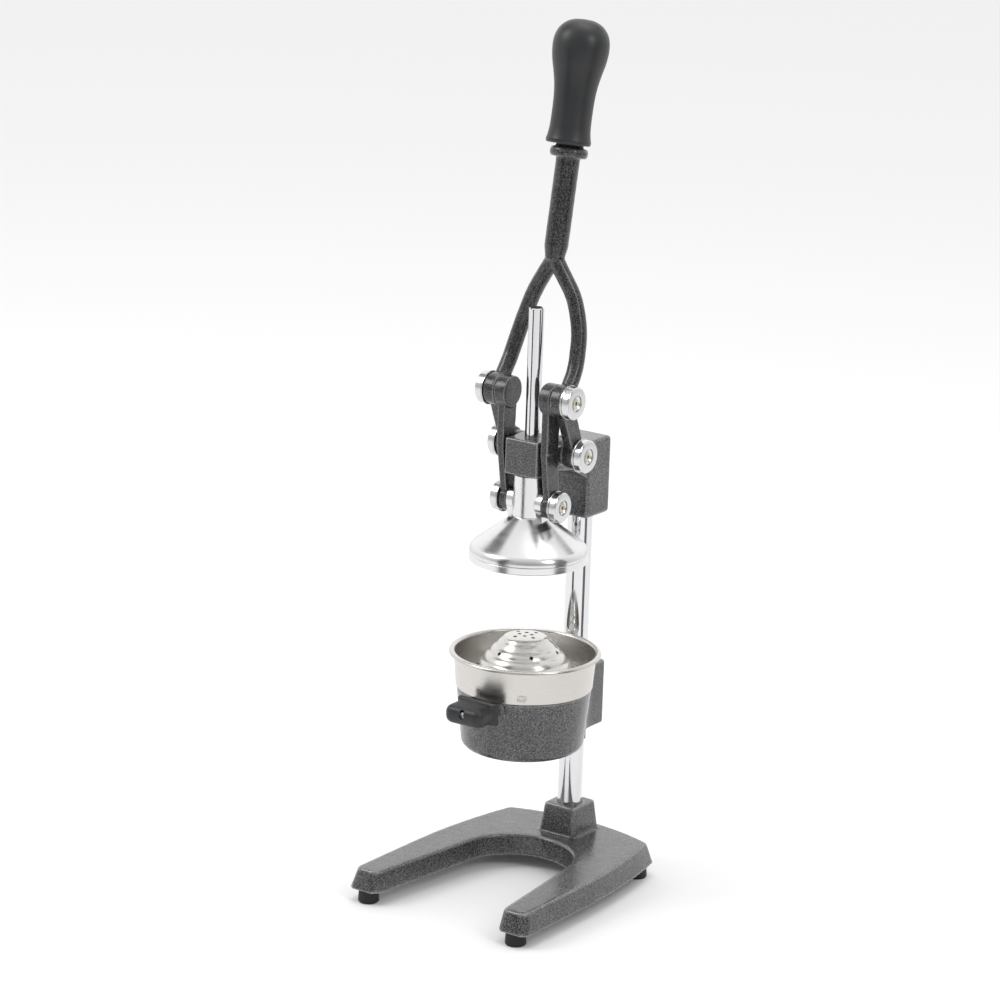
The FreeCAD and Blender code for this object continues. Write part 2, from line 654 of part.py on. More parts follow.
# bell and rod
def make_bell():
    rim, top = bell_rim_z, neck_top
    cone_top = rim + bell_cone_top
    slope = (bell_cone_top - bell_corner) / (bell_radius - neck_radius)
    drop = bell_wall * math.sqrt(1 + slope * slope)
    cavity_top = cone_top - drop - 1.5
    inner_radius = bell_radius - bell_wall
    inner_low = rim + bell_corner + slope * bell_wall - drop
    flat_radius = inner_radius - (cavity_top - inner_low) / slope
    band = rim + bell_band
    profile = [(0, cavity_top), (flat_radius, cavity_top), (inner_radius, inner_low),
               (inner_radius + 0.8, rim), (bell_radius - 0.6, rim), (bell_radius, rim + 0.6),
               (bell_radius, band - bell_groove), (bell_radius - bell_groove, band),
               (bell_radius, band + bell_groove), (bell_radius, rim + bell_corner),
               (neck_radius, cone_top), (neck_radius, top - 0.5), (neck_radius - 0.5, top), (0, top)]
    body = revolved(profile, 0, axis_y)

    def ring(radius, z):
        return lambda e: abs(e.BoundBox.ZMax - z) < 1e-3 and abs(e.BoundBox.XMax - radius) < 1e-3

    body = fillet(body, bell_shoulder, ring(bell_radius, rim + bell_corner))
    body = fillet(body, neck_fillet, ring(neck_radius, cone_top))
    ears = []
    for side in both:
        disc = cyl_x(lug_radius, side * lug_in, side * lug_out, lug)
        foot = (lug[0], lug[1] - lug_foot)
        web = bar_yz(lug, foot, 2 * lug_radius, 8.0, side * lug_in, side * lug_out)
        ears.append(disc.fuse(web).removeSplitter())
    cavity = revolved([(0, rim - 30), (inner_radius + 0.8, rim - 30), (inner_radius + 0.8, rim),
                       (inner_radius, inner_low), (flat_radius, cavity_top), (0, cavity_top)], 0, axis_y)
    body = fuse([body] + ears).cut(cavity)
    holes = [cyl(rod_radius + fixed_clearance, top - rod_seat, top + 1, 0, axis_y)]
    for side in both:
        holes.append(cyl_x(screw_radius + fixed_clearance, side * (neck_radius + 0.6), side * (lug_out + 1),
                           lug))
    return cut(body, holes)


def make_guide_rod():
    rod = cyl(rod_radius, neck_top - rod_seat + 0.1, neck_top + rod_above, 0, axis_y)
    return rod.makeChamfer(0.8, [e for e in rod.Edges if e.BoundBox.ZMin > neck_top])


# lever, grip and links
def shaft_point(distance):
    lean = math.radians(lever_lean)
    return V(0, fulcrum[0] + crotch_back + distance * math.sin(lean),
             fulcrum[1] + crotch_above + distance * math.cos(lean))


def along_shaft(profile):
    """Solid of a (radius, distance) polygon turned about the shaft's axis."""
    solid = revolved(profile)
    solid.rotate(V(0, 0, 0), V(1, 0, 0), -lever_lean)
    solid.translate(shaft_point(0))
    return solid


def make_lever():
    shapes = []
    middle = (lever_in + lever_out) / 2
    for side in both:
        shapes.append(cyl_x(boss_radius, side * lever_in, side * lever_out, fulcrum))
        shapes.append(cyl_x(boss_radius, side * lever_in, side * lever_out, crank))
        shapes.append(bar_yz(fulcrum, crank, crank_bar_width, crank_bar_width,
                             side * (lever_in + crank_bar_inset[0]), side * (lever_out - crank_bar_inset[1])))
        route = [(middle, crank[0] - fulcrum[0] + 2.0, crank[1] - fulcrum[1] + 3.0),
                 (middle - 0.2, -3.4, 70.7), (middle - 4.2, crotch_back - 2.0, 100.7),
                 (middle - 12.7, crotch_back + 1.3, crotch_above - 31.0),
                 (middle - 24.2, crotch_back + 0.1, crotch_above - 13.0),
                 (0.0, crotch_back, crotch_above)]
        path = tangent_path([V(side * x, fulcrum[0] + y, fulcrum[1] + z) for x, y, z in route])
        start = path.Vertexes[0].Point
        heading = path.Vertexes[1].Point - start
        section = Part.Wire(Part.makeCircle(arm_radius, start, heading))
        shapes.append(path.makePipeShell([section], True, True))
    collar_radius = shaft_radius + collar_over
    shaft = along_shaft([(0, -3.0), (arm_radius + 1.0, -3.0), (shaft_radius, 9.0),
                         (shaft_radius, collar_at - collar_height / 2),
                         (collar_radius - 1.2, collar_at - collar_height / 2),
                         (collar_radius, collar_at - 1.5), (collar_radius, collar_at + 1.5),
                         (collar_radius - 1.2, collar_at + collar_height / 2),
                         (shaft_radius + 1.5, collar_at + collar_height / 2),
                         (shaft_radius + 1.5, lever_grip_at - 0.1), (tang_radius, lever_grip_at - 0.1),
                         (tang_radius, lever_grip_at + tang_length), (0, lever_grip_at + tang_length)])
    body = fuse(shapes + [shaft])
    holes = []
    for side in both:
        for at in (fulcrum, crank):
            holes.append(cyl_x(screw_radius + running_clearance, side * (lever_in - 1),
                               side * (lever_out + 1), at))
            # the boss faces are machined flat, a little wider than the washers
            holes.append(cyl_x(spot_face_radius, side * lever_out, side * (lever_out + arm_radius), at))
            holes.append(cyl_x(spot_face_radius, side * (lever_in - arm_radius), side * lever_in, at))
    return cut(body, holes)


def make_lever_grip():
    length, widest = lever_grip_length, lever_grip_radius
    outline = [V(radius * widest, 0, share * length) for share, radius in lever_grip_outline]
    curve = Part.BSplineCurve()
    curve.interpolate(outline + [V(0, 0, length)])
    bottom, top = V(0, 0, 0), V(0, 0, length)
    edges = [Part.LineSegment(bottom, outline[0]).toShape(), curve.toShape(),
             Part.LineSegment(top, bottom).toShape()]
    grip = Part.Face(Part.Wire(edges)).revolve(V(0, 0, 0), V(0, 0, 1), 360)
    grip = grip.cut(cyl(tang_radius + fixed_clearance, -1, tang_length + 2.0))
    grip.rotate(V(0, 0, 0), V(1, 0, 0), -lever_lean)
    grip.translate(shaft_point(lever_grip_at))
    return grip


def make_link(side):
    top = cyl_x(screw_radius + link_top_wall, link_top_in, lever_in - pivot_gap, crank)
    low = cyl_x(pivot_boss_radius, link_in, link_out, lug)
    middle = ((crank[0] + lug[0]) / 2 - link_bow, (crank[1] + lug[1]) / 2)
    upper = bar_yz(crank, middle, link_width + 2.0, link_width, link_plate_in, link_plate_out)
    lower = bar_yz(middle, lug, link_width, link_width - 1.5, link_plate_in, link_out)
    knee = cyl_x(link_width / 2, link_plate_in, link_out, middle)
    body = fuse([top, upper, knee, lower, low])
    body = cut(body, [cyl_x(screw_radius + fixed_clearance, link_top_in + 2.5, lever_in, crank),
                      cyl_x(screw_radius + fixed_clearance, link_in - 1, link_out + 1, lug)])
    return mirrored(body, side)


# pivot hardware
def make_cap(side, at, face, radius):
    """Turned cap with a recess for the screw head; face is where the boss under it ends."""
    low = face + pivot_gap + pivot_washer
    high = low + cap_thickness
    body = cyl_x(radius, low, high, at)
    rim = [e for e in body.Edges if e.BoundBox.XMin > high - 1e-3]
    body = body.makeChamfer(0.9, rim)
    body = cut(body, [cyl_x(screw_radius + screw_head_over + 0.3, high - cap_recess, high + 1, at),
                      cyl_x(screw_radius + fixed_clearance, low - 1, high, at)])
    return mirrored(body, side)


def make_washer(side, at, face, radius):
    low = face + pivot_gap
    ring = cyl_x(radius + washer_over, low, low + pivot_washer, at)
    return mirrored(ring.cut(cyl_x(screw_radius + 0.15, low - 1, low + pivot_washer + 1, at)), side)


def make_pivot_screw(side, at, face, inner_end):
    seat = face + pivot_gap + pivot_washer + cap_thickness - cap_recess
    head = cyl_x(screw_radius + screw_head_over, seat, seat + screw_head_height, at)
    shank = cyl_x(screw_radius, inner_end, seat, at)
    socket = hex_prism(hex_across, seat + screw_head_height - 2.6, seat + screw_head_height, at)
    return mirrored(head.fuse(shank).removeSplitter().cut(socket), side)


pivots = (("fulcrum", fulcrum, lever_out, cap_radius, 10.0),
          ("crank", crank, lever_out, cap_radius, link_top_in + 3.0),
          ("bell", lug, link_out, bell_cap_radius, link_in + pivot_gap))


def make_all():
    nodes = {"base_casting": make_base(), "foot_screws": make_foot_screws(), "column": make_column(),
             "column_bolt": make_column_bolt(), "column_washer": make_column_washer(),
             "cup_holder": make_cup_holder(), "cup_set_screw": make_cup_set_screw(),
             "cup_grip": make_cup_grip(), "cup_grip_screw": make_cup_grip_screw(),
             "juice_bowl": make_juice_bowl(), "bowl_spout": make_bowl_spout(),
             "strainer_cone": make_strainer(),
             "head_casting": make_head(), "head_set_screws": make_head_set_screws(),
             "press_bell": make_bell(), "guide_rod": make_guide_rod(),
             "lever_casting": make_lever(), "lever_grip": make_lever_grip()}
    for name, place in foot_places().items():
        nodes["foot_" + name] = make_foot(*place)
    for side_name, side in sides:
        nodes["link_" + side_name] = make_link(side)
        for name, at, face, radius, inner_end in pivots:
            nodes[name + "_cap_" + side_name] = make_cap(side, at, face, radius)
            nodes[name + "_washer_" + side_name] = make_washer(side, at, face, radius)
            nodes[name + "_screw_" + side_name] = make_pivot_screw(side, at, face, inner_end)
    return nodes


os.makedirs("parts", exist_ok=True)
for node, shape in make_all().items():
    if not shape.isValid() or not shape.Solids:
        raise ValueError(node + " is not a valid solid")
    shape.exportStep("parts/" + node + ".step")
    print(node, len(shape.Solids), round(shape.Volume))
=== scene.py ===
import bpy
import json
import math
from mathutils import Matrix, Vector

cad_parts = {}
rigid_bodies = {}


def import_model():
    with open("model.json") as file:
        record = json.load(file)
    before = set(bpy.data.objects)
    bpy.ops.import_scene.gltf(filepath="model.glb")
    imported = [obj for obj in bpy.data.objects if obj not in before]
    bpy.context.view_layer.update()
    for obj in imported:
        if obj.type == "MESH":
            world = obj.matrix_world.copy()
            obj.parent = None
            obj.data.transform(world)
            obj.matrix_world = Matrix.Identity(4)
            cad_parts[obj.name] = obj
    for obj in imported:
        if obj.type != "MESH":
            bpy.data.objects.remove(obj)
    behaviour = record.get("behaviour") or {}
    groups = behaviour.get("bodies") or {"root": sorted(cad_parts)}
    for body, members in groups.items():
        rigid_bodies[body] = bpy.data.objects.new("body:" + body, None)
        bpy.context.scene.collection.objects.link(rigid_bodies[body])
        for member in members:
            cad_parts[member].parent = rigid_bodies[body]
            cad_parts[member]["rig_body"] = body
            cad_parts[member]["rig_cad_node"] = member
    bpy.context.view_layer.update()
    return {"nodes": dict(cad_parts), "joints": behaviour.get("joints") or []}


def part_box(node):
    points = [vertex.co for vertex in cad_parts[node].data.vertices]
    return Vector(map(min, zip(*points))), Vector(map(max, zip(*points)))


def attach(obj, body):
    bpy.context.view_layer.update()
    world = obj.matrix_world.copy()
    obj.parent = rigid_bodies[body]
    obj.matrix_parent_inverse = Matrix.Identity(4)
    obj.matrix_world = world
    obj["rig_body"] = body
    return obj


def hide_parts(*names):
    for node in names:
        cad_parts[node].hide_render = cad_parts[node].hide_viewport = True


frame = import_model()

mm = 0.001
weld = 0.002 * mm
print("frame loaded,", len(frame["nodes"]), "nodes")

# where the moving axes and the main pieces are, read from the frame
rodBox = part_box("guide_rod")
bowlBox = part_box("juice_bowl")
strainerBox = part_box("strainer_cone")
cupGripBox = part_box("cup_grip")
leverJoint = next(joint for joint in frame["joints"] if joint["name"] == "lever_hinge")
fulcrum = Vector(leverJoint["pos_m"])
cupAxis = Vector(((rodBox[0].x + rodBox[1].x) / 2, (rodBox[0].y + rodBox[1].y) / 2, 0))


# ---- shared helpers: selection, turning, finishing, nodes

def pickNone():
    if bpy.context.object and bpy.context.object.mode != "OBJECT":
        bpy.ops.object.mode_set(mode="OBJECT")
    bpy.ops.object.select_all(action="DESELECT")


def pickOnly(piece):
    pickNone()
    piece.select_set(True)
    bpy.context.view_layer.objects.active = piece


def applied(piece, kind, **settings):
    # one modifier, added and applied at once
    pickOnly(piece)
    modifier = piece.modifiers.new(kind.title(), kind)
    for key, value in settings.items():
        setattr(modifier, key, value)
    bpy.ops.object.modifier_apply(modifier=modifier.name)


def pickFaces(piece, wanted):
    # leaves the piece in edit mode with only the wanted faces selected
    pickOnly(piece)
    bpy.ops.object.mode_set(mode="EDIT")
    bpy.ops.mesh.select_mode(type="FACE")
    bpy.ops.mesh.select_all(action="DESELECT")
    bpy.ops.object.mode_set(mode="OBJECT")
    for face in piece.data.polygons:
        face.select = wanted(face)
    bpy.ops.object.mode_set(mode="EDIT")


def arc(centre, radius, start, end, steps):
    # points of a round stretch of a profile, angles in degrees from the outward direction
    made = []
    for i in range(steps + 1):
        angle = math.radians(start + (end - start) * i / steps)
        made.append((centre[0] + radius * math.cos(angle), centre[1] + radius * math.sin(angle)))
    return made


def flowing(points, steps=6):
    # a smooth line through a few profile points
    made = []
    ends = [points[0]] + list(points) + [points[-1]]
    for a, b, c, d in zip(ends, ends[1:], ends[2:], ends[3:]):
        for i in range(steps):
            t = i / steps
            made.append(tuple(0.5 * (2 * b[k] + (c[k] - a[k]) * t
                                     + (2 * a[k] - 5 * b[k] + 4 * c[k] - d[k]) * t ** 2
                                     + (3 * b[k] - a[k] - 3 * c[k] + d[k]) * t ** 3) for k in (0, 1)))
    return made + [tuple(points[-1])]


def bulged(start, end, bulge, steps=6):
    # a stretch of profile that swells outwards between two points
    along = Vector(end) - Vector(start)
    out = Vector((-along.y, along.x)).normalized()
    if out.x < 0:
        out = -out
    return [tuple(Vector(start) + along * (i / steps) + out * bulge * 4 * i / steps * (1 - i / steps))
            for i in range(steps + 1)]


def walled(outer, thickness):
    # closes a sheet's outer line with its lining, one thickness inside it
    lining = []
    for i, point in enumerate(outer):
        before, after = Vector(outer[max(i - 1, 0)]), Vector(outer[min(i + 1, len(outer) - 1)])
        along = (after - before).normalized()
        lining.append((max(0.3, point[0] + along.y * thickness), point[1] - along.x * thickness))
    return list(outer) + lining[::-1]


def turned(name, profile, segments=96, closed=False):
    # a circle drawn out ring by ring along a (radius, height) profile in millimetres
    pickNone()
    profile = [(radius * mm, height * mm) for radius, height in profile]
    if closed:
        profile.append(profile[0])
    first = profile[0]
    bpy.ops.mesh.primitive_circle_add(vertices=segments, radius=first[0], location=(0, 0, first[1]))
    piece = bpy.context.object
    piece.name = piece.data.name = name
    bpy.ops.object.transform_apply(location=True, rotation=True, scale=True)
    bpy.ops.object.mode_set(mode="EDIT")
    bpy.ops.mesh.select_all(action="SELECT")
    for before, after in zip(profile, profile[1:]):
        bpy.ops.mesh.extrude_edges_move(TRANSFORM_OT_translate={"value": (0, 0, after[1] - before[1])})
        grow = after[0] / before[0]
        bpy.ops.transform.resize(value=(grow, grow, 1), center_override=(0, 0, after[1]))
    if closed:
        bpy.ops.mesh.select_all(action="SELECT")
        bpy.ops.mesh.remove_doubles(threshold=weld)
    else:
        capEnds()
    bpy.ops.mesh.select_all(action="SELECT")
    bpy.ops.mesh.normals_make_consistent(inside=False)
    bpy.ops.object.mode_set(mode="OBJECT")
    return piece


def capEnds():
    # closes open rings with a flat face each
    bpy.ops.mesh.select_mode(type="EDGE")
    bpy.ops.mesh.select_all(action="DESELECT")
    bpy.ops.mesh.select_non_manifold()
    bpy.ops.mesh.edge_face_add()
    bpy.ops.mesh.select_mode(type="FACE")


def smoothed(piece, degrees=35):
    pickOnly(piece)
    bpy.ops.object.shade_smooth_by_angle(angle=math.radians(degrees))


def joined(pieces):
    pickOnly(pieces[0])
    for piece in pieces[1:]:
        piece.select_set(True)
    if len(pieces) > 1:
        bpy.ops.object.join()
    return pieces[0]


def combined(piece, others, how="DIFFERENCE"):
    # takes the others' volume out of the piece, or adds it, and removes them
    other = joined(others)
    applied(piece, "BOOLEAN", operation=how, solver="EXACT", object=other)
    pickOnly(other)
    bpy.ops.object.delete()


def placed(piece, where=(0, 0, 0), turn=(0, 0, 0)):
    # turns and moves a piece about the origin, in degrees and metres, and keeps it in its mesh
    pickOnly(piece)
    piece.rotation_euler = [math.radians(angle) for angle in turn]
    piece.location = where
    bpy.ops.object.transform_apply(location=True, rotation=True, scale=True)
    return piece


def block(name, size, middle, softness, steps=4):
    # a box with rounded edges, sizes in millimetres
    pickNone()
    bpy.ops.mesh.primitive_cube_add(size=mm)
    piece = bpy.context.object
    piece.name = piece.data.name = name
    piece.scale = size
    piece.location = [c * mm for c in middle]
    bpy.ops.object.transform_apply(location=True, rotation=True, scale=True)
    if softness:
        applied(piece, "BEVEL", width=softness * mm, segments=steps, limit_method="ANGLE")
    return piece


def copied(piece, name):
    pickOnly(piece)
    bpy.ops.object.duplicate()
    made = bpy.context.object
    made.name = made.data.name = name
    return made


def dressed(piece, material, body, nodes):
    # finish, body and the CAD nodes that the piece stands for
    piece.data.materials.clear()
    piece.data.materials.append(material)
    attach(piece, body)
    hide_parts(*nodes)


def colour(hexText):
    # sRGB hex to the linear colour that the sockets take
    parts = [int(hexText[i:i + 2], 16) / 255 for i in (1, 3, 5)]
    linear = [c / 12.92 if c <= 0.04045 else ((c + 0.055) / 1.055) ** 2.4 for c in parts]
    return (*linear, 1.0)


def add(material, kind, inputs=None, **settings):
    # one node with its settings, and its sockets set or linked
    made = material.node_tree.nodes.new(kind)
    for key, value in settings.items():
        setattr(made, key, value)
    for key, value in (inputs or {}).items():
        if isinstance(value, bpy.types.NodeSocket):
            material.node_tree.links.new(value, made.inputs[key])
        else:
            made.inputs[key].default_value = value
    return made


def setRamp(ramp, stops):
    elements = ramp.color_ramp.elements
    while len(elements) < len(stops):
        elements.new(0.5)
    for element, (place, shade) in zip(elements, stops):
        element.position = place
        element.color = colour(shade) if isinstance(shade, str) else (shade, shade, shade, 1)
    return ramp.outputs["Color"]


def newMaterial(name):
    material = bpy.data.materials.new(name)
    material.use_nodes = True
    shader = material.node_tree.nodes["Principled BSDF"]
    place = add(material, "ShaderNodeTexCoord").outputs["Object"]
    return material, shader, place


def wire(material, source, shader, socket):
    material.node_tree.links.new(source, shader.inputs[socket])


def noise(material, place, size, detail, **more):
    # noise with features of the given size in metres
    sockets = {"Vector": place, "Scale": 1 / size, "Detail": detail, **more}
    return add(material, "ShaderNodeTexNoise", sockets).outputs["Fac"]


def ramped(material, value, stops):
    return setRamp(add(material, "ShaderNodeValToRGB", {"Fac": value}), stops)


def worked(material, operation, *values):
    sockets = dict(enumerate(values))
    return add(material, "ShaderNodeMath", sockets, operation=operation).outputs["Value"]


def roughened(material, shader, value, spread, rough):
    # roughness that follows a pattern, from its low values to its high ones
    sockets = {"Value": value, "From Min": spread[0], "From Max": spread[1],
               "To Min": rough[0], "To Max": rough[1]}
    wire(material, add(material, "ShaderNodeMapRange", sockets).outputs["Result"], shader, "Roughness")


def bumped(material, shader, height, strength, distance):
    bump = add(material, "ShaderNodeBump", {"Height": height, "Strength": strength, "Distance": distance})
    wire(material, bump.outputs["Normal"], shader, "Normal")


def mixPorts(material, mix, factor, a, b):
    # the colour ports of a Mix node share their names with its other kinds, so they are found by type
    ports = [p for p in mix.inputs if p.enabled]
    for port, value in zip(ports, (factor, a, b)):
        if isinstance(value, bpy.types.NodeSocket):
            material.node_tree.links.new(value, port)
        else:
            port.default_value = value
    return [p for p in mix.outputs if p.enabled][0]


def matte(name, shade):
    material, shader, _ = newMaterial(name)
    shader.inputs["Base Color"].default_value = shade
    shader.inputs["Roughness"].default_value = 1.0
    shader.inputs["Specular IOR Level"].default_value = 0.0
    return material


# ---- camera, floor and light

view = {"place": (1.6734, -2.4571, 1.1435), "azimuth": 34.39, "elevation": 14.64, "roll": 1.89,
        "lens": 135.96, "sensor": 36.0, "shift": (-0.0192, -0.0368), "reach": 200}


def makeCamera():
    bpy.ops.object.camera_add()
    camera = bpy.context.object
    camera.name = "camera"
    turn = Matrix.Rotation(math.radians(view["azimuth"]), 4, "Z")
    tilt = Matrix.Rotation(math.radians(90 - view["elevation"]), 4, "X")
    roll = Matrix.Rotation(math.radians(view["roll"]), 4, "Z")
    camera.matrix_world = Matrix.Translation(view["place"]) @ turn @ tilt @ roll
    camera.data.lens = view["lens"]
    camera.data.sensor_width = view["sensor"]
    camera.data.shift_x, camera.data.shift_y = view["shift"]
    camera.data.clip_end = view["reach"]
    bpy.context.scene.camera = camera


studio = {"floorSize": 80.0, "floor": "#f4f4f4", "boxAim": (0, 0, 0.35), "cardAim": (0, 0, 0.4),
          "sky": {"level": 0.76, "zenith": 0.30, "behind": 0.42},
          "boxes": (  # name, place, width, height, watts
              ("keyBox", (-1.5, -1.3, 2.1), 0.8, 1.1, 16),
              ("fillBox", (1.9, -0.3, 1.7), 0.6, 1.0, 9),
              ("topBox", (0.0, 0.5, 2.6), 1.4, 1.0, 9)),
          "cards": (  # name, azimuth, distance, middle height, width, height, grey
              ("leftCard", 256, 0.6, 0.42, 0.20, 0.9, 0.07),
              ("rightCard", 8, 0.6, 0.42, 0.26, 0.9, 0.14),
              ("bellCard", 176, 1.4, 1.85, 0.75, 0.8, 0.14),
              ("neckCard", 80, 1.6, 1.9, 0.5, 0.6, 0.3))}


def aimed(thing, target, front):
    thing.rotation_euler = (Vector(target) - thing.location).to_track_quat(front, "Y").to_euler()


def makeStudio():
    pickNone()
    bpy.ops.mesh.primitive_plane_add(size=studio["floorSize"])
    floor = bpy.context.object
    floor.name = "floor"
    floor.data.materials.append(matte("whitePaper", colour(studio["floor"])))
    for name, place, width, height, watts in studio["boxes"]:
        bpy.ops.object.light_add(type="AREA", location=place)
        light = bpy.context.object
        light.name = name
        light.data.shape = "RECTANGLE"
        light.data.size, light.data.size_y = width, height
        light.data.energy = watts
        aimed(light, studio["boxAim"], "-Z")
        light.visible_camera = False
    # dark cards about the object, seen by reflections alone, give the polished metal its dark streaks
    for name, azimuth, distance, height, width, tall, grey in studio["cards"]:
        out = math.radians(azimuth)
        pickNone()
        bpy.ops.mesh.primitive_plane_add(
            size=1, location=(distance * math.cos(out), distance * math.sin(out), height))
        card = bpy.context.object
        card.name = name
        aimed(card, studio["cardAim"], "Z")
        card.scale = (width, tall, 1)
        card.data.materials.append(matte(name + "Cloth", (grey, grey, grey, 1)))
        card.visible_camera = card.visible_diffuse = card.visible_shadow = False


def makeSky():
    # brighter overhead and behind the object, as in a white cove lit from above
    world = bpy.data.worlds.new("studioSky")
    bpy.context.scene.world = world
    world.use_nodes = True
    sky = studio["sky"]
    azimuth = math.radians(view["azimuth"])
    place = add(world, "ShaderNodeTexCoord").outputs["Generated"]
    up = add(world, "ShaderNodeSeparateXYZ", {"Vector": place}).outputs["Z"]
    away = (-math.sin(azimuth), math.cos(azimuth), 0)
    behind = add(world, "ShaderNodeVectorMath", {0: place, 1: away}, operation="DOT_PRODUCT").outputs["Value"]
    level = worked(world, "MULTIPLY_ADD", up, sky["zenith"], sky["level"])
    level = worked(world, "MULTIPLY_ADD", behind, sky["behind"], level)
    ground = world.node_tree.nodes["Background"]
    ground.inputs["Color"].default_value = (1, 1, 1, 1)
    wire(world, level, ground, "Strength")


makeCamera()
makeStudio()
makeSky()
bpy.context.scene.view_settings.view_transform = "Standard"
print("camera, floor and lights are in")


# ---- finishes

# Hammertone: stoved enamel with aluminium flake and silicone. It pulls into dark glossy pools between
# grey ridges about a millimetre apart, and its edges are painted brighter: a painted highlight on the rounded
# edges.
hammertone = {"cell": 1.05 * mm, "patch": 26 * mm, "ridge": 0.10 * mm, "stops": (0.40, 0.50, 0.60),
              "patches": ((0.35, 0.82), (0.65, 1.0)), "edges": ((0.508, 0.0), (0.545, 1.0)), "paintedHighlight": 0.55,
              "rough": (0.22, 0.42), "metal": 0.35, "coat": 0.45, "coatRough": 0.16, "bump": 0.55}


def hammertonePaint(name, dark, middle, light, highlightColour):
    material, shader, place = newMaterial(name)
    stops = hammertone["stops"]
    cells = noise(material, place, hammertone["cell"], 2.0, Roughness=0.55, Distortion=0.5)
    paint = ramped(material, cells, tuple(zip(stops, (dark, middle, light))))
    patches = noise(material, place, hammertone["patch"], 3.0)
    tone = ramped(material, patches, hammertone["patches"])
    darken = add(material, "ShaderNodeMix", data_type="RGBA", blend_type="MULTIPLY")
    shaded = mixPorts(material, darken, 1.0, paint, tone)
    # edges painted lighter by pointiness: a painted highlight on the rounded edges
    edge = add(material, "ShaderNodeNewGeometry").outputs["Pointiness"]
    paintedHighlight = worked(material, "MULTIPLY", ramped(material, edge, hammertone["edges"]), hammertone["paintedHighlight"])
    highlightMix = add(material, "ShaderNodeMix", data_type="RGBA")
    wire(material, mixPorts(material, highlightMix, paintedHighlight, shaded, colour(highlightColour)), shader, "Base Color")
    roughened(material, shader, cells, (stops[0], stops[2]), hammertone["rough"])
    shader.inputs["Metallic"].default_value = hammertone["metal"]
    shader.inputs["Coat Weight"].default_value = hammertone["coat"]
    shader.inputs["Coat Roughness"].default_value = hammertone["coatRough"]
    bumped(material, shader, cells, hammertone["bump"], hammertone["ridge"])
    return material


# Plated or polished steel: a mirror, or a satin one, with faint waves from polishing.
plate = {"wave": 18 * mm, "depth": 0.12 * mm, "bump": 0.25, "spread": (0.3, 0.7)}


def platedSteel(name, tint, rough):
    material, shader, place = newMaterial(name)
    shader.inputs["Base Color"].default_value = colour(tint)
    shader.inputs["Metallic"].default_value = 1.0
    film = noise(material, place, plate["wave"], 4.0)
    roughened(material, shader, film, plate["spread"], rough)
    bumped(material, shader, film, plate["bump"], plate["depth"])
    return material


# Turned metal: fine rings left by the tool or the polishing cloth, far too fine to see one by one,
# so they are drawn as coarse as they need to show.
rings = {"drift": 0.6 * mm, "cloud": 22 * mm, "spread": (0.75, 1.25), "bump": 0.3, "depth": 0.02 * mm}


def aroundAxis(material, place, axis):
    # radius, angle and height about an upright axis
    local = add(material, "ShaderNodeVectorMath", {0: place, 1: tuple(axis)}, operation="SUBTRACT")
    parts = add(material, "ShaderNodeSeparateXYZ", {"Vector": local.outputs["Vector"]})
    flat = add(material, "ShaderNodeCombineXYZ", {"X": parts.outputs["X"], "Y": parts.outputs["Y"]})
    radius = add(material, "ShaderNodeVectorMath", {0: flat.outputs["Vector"]}, operation="LENGTH")
    angle = worked(material, "ARCTAN2", parts.outputs["Y"], parts.outputs["X"])
    return radius.outputs["Value"], angle, parts.outputs["Z"]


def ringedMetal(name, tint, rough, ring):
    material, shader, place = newMaterial(name)
    radius, angle, height = aroundAxis(material, place, cupAxis)
    across = worked(material, "ADD", radius, height)
    drift = worked(material, "MULTIPLY", angle, rings["drift"])
    track = add(material, "ShaderNodeCombineXYZ", {"X": across, "Y": drift}).outputs["Vector"]
    lines = noise(material, track, ring, 3.0, Roughness=0.7)
    cloud = noise(material, place, rings["cloud"], 3.0)
    shader.inputs["Base Color"].default_value = colour(tint)
    shader.inputs["Metallic"].default_value = 1.0
    roughened(material, shader, worked(material, "ADD", lines, cloud), rings["spread"], rough)
    bumped(material, shader, lines, rings["bump"], rings["depth"])
    return material


# Moulded black plastic and rubber: satin, with a very fine spark-eroded grain and broad soft highlights.
moulded = {"broad": 30 * mm, "spread": (0.3, 0.7), "bump": 0.2, "depth": 0.05 * mm}


def mouldedPlastic(name, deep, pale, rough, grain):
    material, shader, place = newMaterial(name)
    fine = noise(material, place, grain, 2.0)
    broad = noise(material, place, moulded["broad"], 2.0)
    tone = ramped(material, broad, tuple(zip(moulded["spread"], (deep, pale))))
    wire(material, tone, shader, "Base Color")
    roughened(material, shader, broad, moulded["spread"], rough)
    bumped(material, shader, fine, moulded["bump"], moulded["depth"])
    return material


# the last colour of each paint is its painted edge highlight
castGrey = hammertonePaint("hammertoneGrey", "#2a2a2b", "#4a4a4b", "#727273", "#b6b6b8")
castDark = hammertonePaint("hammertoneDark", "#171717", "#302f2f", "#585858", "#9c9c9d")
chrome = platedSteel("chromePlate", "#dcdcde", (0.05, 0.11))
capChrome = platedSteel("chromeCap", "#d3d3d4", (0.12, 0.22))
washerChrome = platedSteel("chromeWasher", "#c6c6c8", (0.10, 0.2))
zincSteel = platedSteel("zincPlatedSteel", "#b9bcc0", (0.25, 0.4))
yellowSteel = platedSteel("passivatedSteel", "#c9c4b4", (0.22, 0.35))
polishedAluminium = ringedMetal("polishedAluminium", "#dededf", (0.16, 0.28), 0.7 * mm)
satinStainless = ringedMetal("satinStainless", "#cdcac6", (0.24, 0.34), 0.8 * mm)
pressedStainless = ringedMetal("pressedStainless", "#d2d0cc", (0.2, 0.3), 0.8 * mm)
blackPlastic = mouldedPlastic("blackPolypropylene", "#1f2022", "#27282a", (0.36, 0.46), 0.5 * mm)
blackRubber = mouldedPlastic("blackRubber", "#141516", "#1c1d1e", (0.6, 0.75), 0.8 * mm)
